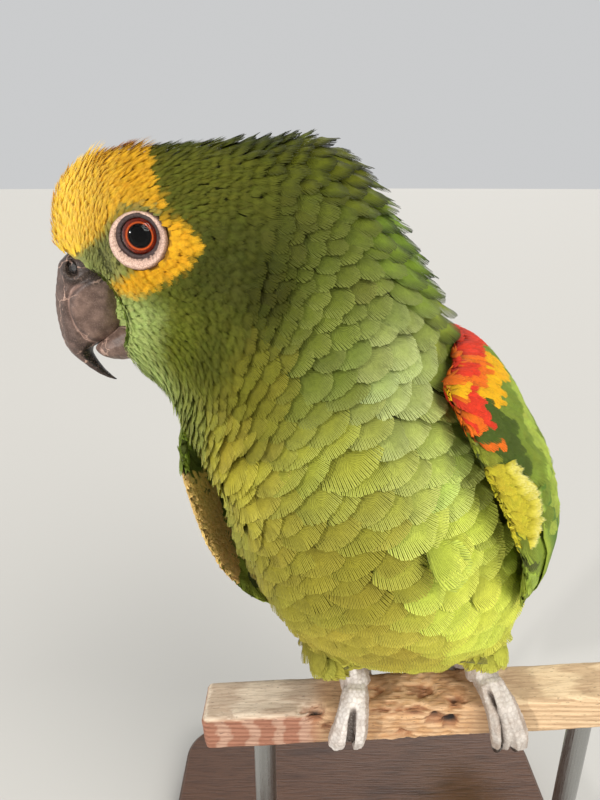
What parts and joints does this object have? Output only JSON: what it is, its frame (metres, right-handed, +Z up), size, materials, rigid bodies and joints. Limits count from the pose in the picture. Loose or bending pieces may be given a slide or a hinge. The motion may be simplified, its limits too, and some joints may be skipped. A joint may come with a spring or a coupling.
{
  "type": "amazon parrot model",
  "caption": "Life-size still model of a green amazon parrot with a yellow face, gripping a short wooden perch held over a flat base by rods, its head turned in profile.",
  "frame": {"origin": "centre of the underside of the stand base", "axes": "+Z up, +X along the perch towards the bird's left, -Y the way the front toes point"},
  "size_m": [0.1966, 0.15, 0.3165],
  "materials": {
    "head_feathers": "soft feathers, green with a yellow face",
    "body_feathers": "scalloped yellow-green feathers",
    "wing_feathers": "green vanes, red and yellow at the bend",
    "tail_feathers": "green vanes with paler tips",
    "bill_horn": "dark horn with pale growth cracks",
    "eye": "wet, orange iris round a dark pupil",
    "foot_skin": "fine pale grey scales",
    "perch_wood": "bare, weathered and gnawed",
    "stand_steel": "brushed",
    "stand_wood": "satin dark stain"
  },
  "bodies": {
    "root": {"head": "head_feathers", "neck": "head_feathers", "breast": "body_feathers", "belly": "body_feathers", "tail": "tail_feathers", "bill_upper": "bill_horn", "bill_lower": "bill_horn", "eye_left": "eye", "eye_right": "eye", "wing_left_coverts": "wing_feathers", "wing_left_flight": "wing_feathers", "wing_right_coverts": "wing_feathers", "wing_right_flight": "wing_feathers", "thigh_left": "body_feathers", "thigh_right": "body_feathers", "foot_left": "foot_skin", "foot_right": "foot_skin", "perch": "perch_wood", "stand_rod_left": "stand_steel", "stand_rod_right": "stand_steel", "stand_base": "stand_wood"}
  },
  "joints": []
}
